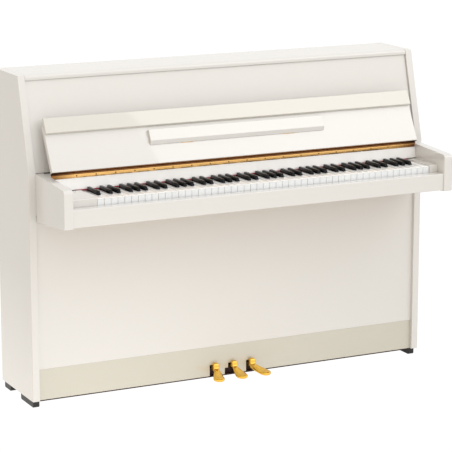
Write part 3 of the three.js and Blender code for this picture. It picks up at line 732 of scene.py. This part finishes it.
def make_keys(key_top, key_front, sharp_black, spruce):
    keys = Keyboard()
    coats = {"natural": [key_top, key_front, spruce], "sharp": [sharp_black, spruce]}
    ranges = {"bass": range(0, OCTAVE_FIRST), "treble": range(OCTAVE_LAST + 1, NATURALS)}
    for name, naturals in ranges.items():
        for kind, coat in coats.items():
            node = f"{name}_{kind}_keys"
            key_object(f"{node}_separate", naturals, kind, keys, coat, f"{name}_{kind}s", node)
    for natural in range(OCTAVE_FIRST, OCTAVE_LAST + 1):
        letter = letter_of(natural).lower()
        notes = {"natural": f"{letter}"}
        if has_sharp_above(natural):
            notes["sharp"] = f"{letter}_sharp"
        for kind, note in notes.items():
            node = f"key_{note}4"
            key_object(f"{node}_covered", [natural], kind, keys, coats[kind], f"{note}4_key", node)


def make_nameboard_felt(red):
    low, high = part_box("nameboard_felt")
    bm = bmesh.new()
    faces = add_box(bm, low, high)
    round_edges(bm, faces, 0.9 * MM, 3)
    place(new_object("nameboard_felt_strip", bm, [red]), "case", "red_felt", "nameboard_felt")


# ---------------------------------------------------------------- hinges


class Board:
    """Coordinates on the open fallboard: along it from the hinge pin, and out from its back face."""

    def __init__(self):
        self.pin = joint_pin("fallboard_closes")

    def at(self, x, along, out):
        sin, cos = math.sin(FALLBOARD_LEAN), math.cos(FALLBOARD_LEAN)
        y = self.pin.y + along * sin - out * cos
        return Vector((x, y, self.pin.z + along * cos + out * sin))

    def out(self):
        return Vector((0, -math.cos(FALLBOARD_LEAN), math.sin(FALLBOARD_LEAN)))

    def along(self):
        return Vector((0, math.sin(FALLBOARD_LEAN), math.cos(FALLBOARD_LEAN)))


def add_screw(bm, centre, normal, radius, material_index):
    """A countersunk screw head, flush with the leaf, whose cross is a thin dark sheet on top: painted
    shade.
    """
    normal = Vector(normal).normalized()
    centre = Vector(centre)
    add_rod(bm, centre - normal * 0.4 * MM, centre + normal * 0.25 * MM, radius, 16, material_index)
    side = normal.cross(Vector((1, 0, 0))).normalized()
    # the cross: a thin dark sheet on the head, painted shade in place of a sunk cross
    for direction in (side, normal.cross(side)):
        half = direction * radius * 0.55
        wide = normal.cross(direction) * radius * 0.16
        base = centre + normal * 0.27 * MM
        outline = [base - half - wide, base + half - wide, base + half + wide, base - half + wide]
        extrude_outline(bm, outline, normal * 0.03 * MM, material_index + 1)


def add_knuckles(bm, pin, radius, half, count, first, material_index=0):
    """Every other knuckle of a continuous hinge's barrel, along x."""
    length = 2 * half / count
    for i in range(first, count, 2):
        x0 = pin.x - half + i * length
        start = (x0 + 0.15 * MM, pin.y, pin.z)
        add_rod(bm, start, (x0 + length - 0.15 * MM, pin.y, pin.z), radius, 16, material_index)


def make_fallboard_hinge(brass, painted_dark_brass, screw_brass, recess_painted_shade):
    board = Board()
    low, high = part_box("fallboard_hinge_fixed_leaf")
    half = (high.x - low.x) / 2
    pin = Vector((0, board.pin.y, board.pin.z))
    leaf = 1.2 * MM
    knuckles = 53
    pitch = 68 * MM
    inset = 20 * MM
    screws = [inset - half + i * pitch for i in range(int((2 * half - inset) / pitch) + 1)]

    bm = bmesh.new()
    leaf_y = pin.y + 0.2 * MM
    faces = add_box(bm, (-half, leaf_y, low.z), (half, leaf_y + leaf, pin.z - 2.4 * MM))
    round_edges(bm, faces, 0.25 * MM, 2)
    # the knuckles and the pin take the darkened brass: a painted dark reflection
    add_knuckles(bm, pin, 3 * MM, half, knuckles, 0, 3)
    add_rod(bm, (-half, pin.y, pin.z), (half, pin.y, pin.z), 1.2 * MM, 12, 3)
    for x in screws:
        add_screw(bm, (x, leaf_y, low.z + 6.5 * MM), (0, -1, 0), 2.9 * MM, 1)
    fixed = new_object("fallboard_hinge_lower_leaf", bm, [brass, screw_brass, recess_painted_shade, painted_dark_brass])
    place(fixed, "case", "brass", "fallboard_hinge_fixed_leaf")

    bm = bmesh.new()
    outline = [
        board.at(-half, 1.9 * MM, 0),
        board.at(-half, 3.1 * MM, 0),
        board.at(-half, 3.1 * MM, 15 * MM),
        board.at(-half, 1.9 * MM, 15 * MM),
    ]
    faces = extrude_outline(bm, outline, (2 * half, 0, 0))
    round_edges(bm, faces, 0.25 * MM, 2)
    add_knuckles(bm, pin, 3 * MM, half, knuckles, 1)
    for x in screws:
        add_screw(bm, board.at(x, 1.9 * MM, 9 * MM), -board.along(), 2.9 * MM, 1)
    # the upper leaf is the darkened brass: a painted dark reflection
    moving = new_object("fallboard_hinge_upper_leaf", bm, [painted_dark_brass, screw_brass, recess_painted_shade])
    place(moving, "fallboard", "brass", "fallboard_hinge_moving_leaf")


def make_lid_hinge(brass, screw_brass, recess_painted_shade):
    pin = joint_pin("lid_opens")
    low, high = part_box("lid_hinge_fixed_leaf")
    half = (high.x - low.x) / 2
    screws = 18
    inset = 30 * MM
    for name, node, body, first, z0, z1 in (
        ("lid_hinge_frame_leaf", "lid_hinge_fixed_leaf", "case", 0, low.z, pin.z - 1.5 * MM),
        ("lid_hinge_lid_leaf", "lid_hinge_moving_leaf", "lid", 1, pin.z - 1.5 * MM, pin.z + 15 * MM),
    ):
        y0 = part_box(node)[0].y
        bm = bmesh.new()
        faces = add_box(bm, (-half, y0, z0), (half, y0 + 1.3 * MM, z1))
        round_edges(bm, faces, 0.25 * MM, 2)
        add_knuckles(bm, pin, 2.6 * MM, half, 55, first)
        screw_z = z0 + 8 * MM if first == 0 else z1 - 6 * MM
        for i in range(screws):
            x = inset - half + i * (half - inset) * 2 / (screws - 1)
            add_screw(bm, (x, y0 + 1.3 * MM, screw_z), (0, 1, 0), 2.9 * MM, 1)
        place(new_object(name, bm, [brass, screw_brass, recess_painted_shade]), body, "brass", node)


def make_ledge_hinges(brass, screw_brass, recess_painted_shade):
    """Two small hinges under the music ledge, let into it and the fallboard."""
    board = Board()
    middle = joint_pin("desk_ledge_unfolds")
    half = 22.5 * MM
    low, high = LEDGE_LEAF
    leaves = {"fallboard": (16.2 * MM, 17.15 * MM, 1), "ledge": (17.25 * MM, 18 * MM, -1)}
    for side, x in (("left", -0.189), ("right", 0.189)):
        pin = middle + Vector((x, 0, 0))
        for first, (body, (back, face, way)) in enumerate(leaves.items()):
            bm = bmesh.new()
            add_knuckles(bm, pin, 1.3 * MM, half, 5, first)
            outline = [
                board.at(x - half, low, back),
                board.at(x - half, high, back),
                board.at(x - half, high, face),
                board.at(x - half, low, face),
            ]
            round_edges(bm, extrude_outline(bm, outline, (2 * half, 0, 0)), 0.2 * MM, 2)
            for screw_x in (x - 14 * MM, x + 14 * MM):
                seat = face if way > 0 else back
                head = board.at(screw_x, (low + high) / 2, seat - way * 0.26 * MM)
                add_screw(bm, head, board.out() * way, 2 * MM, 1)
            piece = new_object(f"ledge_hinge_{side}_{body}", bm, [brass, screw_brass, recess_painted_shade])
            place(piece, body, "brass")


# ---------------------------------------------------------------- pedals


def superellipse(count, power):
    """Points of a rounded square outline, as (u, v) from -1 to 1."""
    points = []
    for i in range(count):
        angle = 2 * math.pi * i / count
        cos, sin = math.cos(angle), math.sin(angle)
        u = math.copysign(abs(cos) ** (2 / power), cos)
        v = math.copysign(abs(sin) ** (2 / power), sin)
        points.append((u, v))
    return points


def make_pedal(name, brass):
    """A cast pedal: a squared neck, a hump outside the toe rail, and a blade widening to the toe."""
    node = f"pedal_{name}"
    neck_x = joint_pin(f"{node}_press").x / MM
    low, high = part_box(node)
    neck = 9.7
    toe_radius = 20.0
    splay = PEDAL_SPLAY[name]
    tail_y = high.y / MM
    # y, top, bottom, half width, sideways shift, squareness: from the tail to the toe, in mm
    stations = [
        (tail_y - 0.3, 61.6, 48.2, 8, 0, 6),
        (tail_y - 4.5, 61.6, 48.2, 9, 0, 6),
        (tail_y - 5.5, 56.0, 48.2, 9, 0, 6),
        (54, 56.0, 48.6, 10, 0, 6),
        (49, 59.2, 49.0, neck, 0, 6),
        (7, 59.2, 50.9, neck, 0, 6),
        (1, 59.2, 51.8, neck, 0, 6),
        (-2, 59.2, 51.4, neck, 0, 6),
        (-12.5, 59.4, 45.4, neck, 0, 6),
        (-14.2, 66.0, 44.0, neck, 0, 6),
        (-15.5, 69.5, 43.6, neck, 0, 6),
        (-18.0, 72.2, 42.8, neck, 0, 6),
        (-23.5, 73.6, 41.0, neck, 0, 6),
        (-28.5, 72.2, 39.4, neck, 0, 6),
        (-31.2, 69.0, 38.6, neck, 0, 6),
        (-32.4, 64.0, 38.2, neck, 0, 6),
        (-32.9, 56.0, 37.8, neck, 0.01, 5),
        (-36.0, 53.6, 37.0, neck * 1.02, 0.07, 4),
        (-46.0, 51.0, 33.8, 13.2, 0.26, 3.4),
        (-58.0, 47.8, 31.4, 15.6, 0.49, 3.0),
        (-70.0, 44.8, 29.4, 18.0, 0.74, 2.8),
        (-80.0, 42.4, 28.2, 19.6, 0.92, 2.8),
        (-86.0, 41.2, 27.4, toe_radius, 1.0, 2.8),
    ]
    tip_y = low.y / MM
    middle_y = tip_y + toe_radius
    for angle in range(15, 91, 15):
        sin, cos = math.sin(math.radians(angle)), math.cos(math.radians(angle))
        y = middle_y - toe_radius * sin
        half = toe_radius * max(cos, 0.14)
        stations.append((y, 41.2 - 5.5 * sin**4, 27.4 + 2.2 * sin**6, half, 1.0, 2.8))
    rings = []
    for y, top, bottom, half, shift, power in stations:
        x = neck_x + splay * shift
        middle, thick = (top + bottom) / 2, (top - bottom) / 2
        outline = superellipse(28, power)
        rings.append([Vector((x + u * half, y, middle + v * thick)) * MM for u, v in outline])
    bm = bmesh.new()
    add_loft(bm, rings)
    obj = new_object(f"pedal_{name}_cast", bm, [brass], sharp_degrees=180)
    smooth = obj.modifiers.new("cast_surface", "SUBSURF")
    smooth.levels = smooth.render_levels = 1
    place(obj, f"{name}_pedal", "brass", node)


# ---------------------------------------------------------------- inside


def note_positions():
    """The x of all 88 notes' strings and hammers, evenly spread over the keyboard's width."""
    keys = Keyboard()
    width = NATURALS * keys.pitch
    return [keys.left + width * (i + 0.5) / NOTES for i in range(NOTES)]


def make_hammers(felt, wood):
    low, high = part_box("hammers_and_rest_rail")
    pivot_y, pivot_z = (value * MM for value in HAMMER_PIVOT)
    bm = bmesh.new()
    add_box(bm, (low.x, pivot_y - 10 * MM, pivot_z - 6 * MM), (high.x, pivot_y + 8 * MM, pivot_z), 1)
    rail = add_box(
        bm, (low.x, low.y, pivot_z + 48 * MM), (high.x, low.y + 12 * MM, pivot_z + 62 * MM), 1
    )
    round_edges(bm, rail, 2 * MM, 2)
    add_box(
        bm,
        (low.x, low.y + 12 * MM, pivot_z + 49 * MM),
        (high.x, low.y + 16.5 * MM, pivot_z + 61 * MM),
        2,
    )
    head_z = high.z - 15 * MM
    for x in note_positions():
        butt_back = (x + 4.5 * MM, pivot_y + 7 * MM, pivot_z + 14 * MM)
        add_box(bm, (x - 4.5 * MM, pivot_y - 9 * MM, pivot_z), butt_back, 1)
        shank_foot = (x, pivot_y - 3 * MM, pivot_z + 10 * MM)
        add_rod(bm, shank_foot, (x, pivot_y - 8 * MM, head_z), 2.7 * MM, 8, 1)
        core_back = (x + 4.2 * MM, pivot_y + 5 * MM, head_z + 5 * MM)
        add_box(bm, (x - 4.2 * MM, pivot_y - 18 * MM, head_z - 5 * MM), core_back, 1)
        rings = []
        for offset, half in ((-8, 5.5), (-4, 10), (1, 12.5), (6, 12), (10, 9), (13, 4.5), (14, 1.5)):
            y = pivot_y + offset * MM
            rings.append(
                [
                    (x - 5 * MM, y, head_z - half * MM),
                    (x + 5 * MM, y, head_z - half * MM),
                    (x + 5 * MM, y, head_z + half * MM),
                    (x - 5 * MM, y, head_z + half * MM),
                ]
            )
        add_loft(bm, rings, 0)
    red = material_felt("hammer_rest_felt", (0.42, 0.05, 0.06))
    obj = new_object("hammers_on_rest_rail", bm, [felt, wood, red], sharp_degrees=50)
    place(obj, "hammers", "wool_felt", "hammers_and_rest_rail")


def make_dampers(felt, wood, steel):
    low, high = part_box("dampers")
    wire = 1.1 * MM
    bm = bmesh.new()
    add_box(bm, (low.x, low.y, low.z), (high.x, low.y + 8 * MM, low.z + 8 * MM), 1)
    for x in note_positions():
        if x > high.x:
            break
        wire_foot = (x, low.y + 4 * MM, low.z + 6 * MM)
        add_rod(bm, wire_foot, (x, low.y + 5 * MM, high.z - 20 * MM), wire, 6, 2)
        bend = (x, low.y + 5 * MM, high.z - 18 * MM)
        add_rod(bm, bend, (x, high.y - 9 * MM, high.z - 17 * MM), wire, 6, 2)
        head = (x - 4.6 * MM, high.y - 9.5 * MM, low.z + 28 * MM)
        add_box(bm, head, (x + 4.6 * MM, high.y - 5 * MM, high.z), 1)
        pad = (x - 4.6 * MM, high.y - 5 * MM, low.z + 29 * MM)
        add_box(bm, pad, (x + 4.6 * MM, high.y, high.z - 1 * MM), 0)
    obj = new_object("damper_heads", bm, [felt, wood, steel])
    place(obj, "dampers", "wool_felt", "dampers")


def make_muffler(felt, wood):
    low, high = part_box("muffler_rail")
    bm = bmesh.new()
    rail = add_box(bm, (low.x, low.y, high.z - 13 * MM), (high.x, high.y - 2 * MM, high.z), 1)
    round_edges(bm, rail, 1 * MM, 2)
    add_box(bm, (low.x, high.y - 5 * MM, low.z), (high.x, high.y - 2.5 * MM, high.z - 3 * MM), 0)
    place(new_object("muffler_felt", bm, [felt, wood]), "muffler", "wool_felt", "muffler_rail")


def make_strings(steel, copper, iron):
    """Separate strings down from their tuning pins: copper-wound and single in the bass."""
    low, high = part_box("strings")
    plate_low, plate_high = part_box("iron_plate")
    y = (low.y + high.y) / 2
    edge = 5 * MM
    bm = bmesh.new()
    pins = bmesh.new()
    for index, x in enumerate(note_positions()):
        bass = index < BASS_NOTES
        share = index / (NOTES - 1)
        count = 1 if index < SINGLE_STRING_NOTES else 2 if bass else 3
        radius = (1.6 - 0.05 * index) * MM if bass else (0.62 - 0.16 * share) * MM
        lean = 0.16 if bass else -0.10 * (1 - share)
        bottom = 0.14 + (0.03 if bass else 0.36 * share**1.4)
        top = high.z - 0.02
        for strand in range(count):
            offset = (strand - (count - 1) / 2) * 2.6 * MM
            start = Vector((x + offset, y, top))
            end_x = max(low.x + edge, min(high.x - edge, x + offset + lean))
            end = Vector((end_x, y, bottom))
            add_rod(bm, start, end, max(radius, 0.45 * MM), 6, 1 if bass else 0)
            row = 0.012 * strand + (0.028 if index % 2 else 0.0)
            pin_z = min(high.z - 0.018 + row, plate_high.z - 0.006)
            pin_x = x + offset * 1.6
            pin_foot = (pin_x, plate_low.y + 2 * MM, pin_z)
            add_rod(pins, pin_foot, (pin_x, y - 19 * MM, pin_z + 2 * MM), 3.3 * MM, 8)
            add_rod(bm, start, (pin_x, y - 4 * MM, pin_z), 0.5 * MM, 6, 0)
    place(new_object("string_set", bm, [steel, copper]), "case", "string_steel", "strings")
    blued = material_steel("tuning_pin_blued", (0.34, 0.36, 0.42))
    place(new_object("tuning_pins", pins, [blued]), "case", "string_steel")
    plate = cad_copy("iron_plate", "iron_plate_cast", [iron], "case", 0.004, 3)


def make_trapwork(beech):
    for name in ("left", "middle", "right"):
        for kind in ("lever", "rod"):
            node = f"trap_{kind}_{name}"
            body = f"{name}_trap_{kind}"
            cad_copy(node, f"{node}_turned", [beech], body, 0.0015, 2)


# ---------------------------------------------------------------- build


def main():
    make_camera()
    make_studio()
    lacquer = material_lacquer()
    beech = material_wood("beech_wood", (0.42, 0.26, 0.13), (0.6, 0.42, 0.24), 2, 0.55)
    spruce = material_wood("spruce_wood", (0.56, 0.37, 0.17), (0.74, 0.55, 0.31), 2, 0.45)
    lever_spruce = material_wood("key_lever_spruce", (0.56, 0.37, 0.17), (0.74, 0.55, 0.31), 1, 0.5)
    # both hinge brasses darken to painted dark reflections at their ends
    hinge_brass = material_brass("hinge_brass", 0.24, (0.86, 0.52, 0.19), (0.3, 0.14, 0.05))
    # a darker copy of the hinge brass, a painted dark reflection, for the upper leaf and the knuckles
    hinge_brass_painted_dark_reflection = material_brass("hinge_brass_painted_dark_reflection", 0.3, (0.3, 0.135, 0.05), (0.1, 0.045, 0.02))
    pedal_brass = material_brass("pedal_brass", 0.15, (0.92, 0.57, 0.1))
    screw_brass = material_brass("screw_brass", 0.3, (0.45, 0.27, 0.09))
    # near black for the screws' crosses: painted shade
    recess_painted_shade = Shader("screw_recess_painted_shade", (0.03, 0.02, 0.01), 0.6).material
    wool = material_felt("wool_felt", (0.78, 0.75, 0.66))
    # dark bottom board colour: partly its own paint, partly painted shade for the line under the toe
    # rail
    stain_and_painted_shade = material_wood("bottom_board_stain_and_shade", (0.02, 0.004, 0.004), (0.04, 0.009, 0.008), 0, 0.7)
    make_case(lacquer, beech, spruce, stain_and_painted_shade)
    make_feet(material_black_plastic())
    make_keys(material_key_top(), material_key_front(), material_sharp(), lever_spruce)
    make_nameboard_felt(material_felt("red_nameboard_felt", (0.42, 0.035, 0.055)))
    make_fallboard_hinge(hinge_brass, hinge_brass_painted_dark_reflection, screw_brass, recess_painted_shade)
    make_lid_hinge(hinge_brass, screw_brass, recess_painted_shade)
    make_ledge_hinges(hinge_brass, screw_brass, recess_painted_shade)
    for name in ("left", "middle", "right"):
        make_pedal(name, pedal_brass)
    make_hammers(wool, beech)
    make_dampers(wool, beech, material_steel("damper_wire"))
    make_muffler(wool, beech)
    make_strings(material_steel("string_steel_wire"), material_copper(), material_gold_iron())
    make_trapwork(beech)


main()
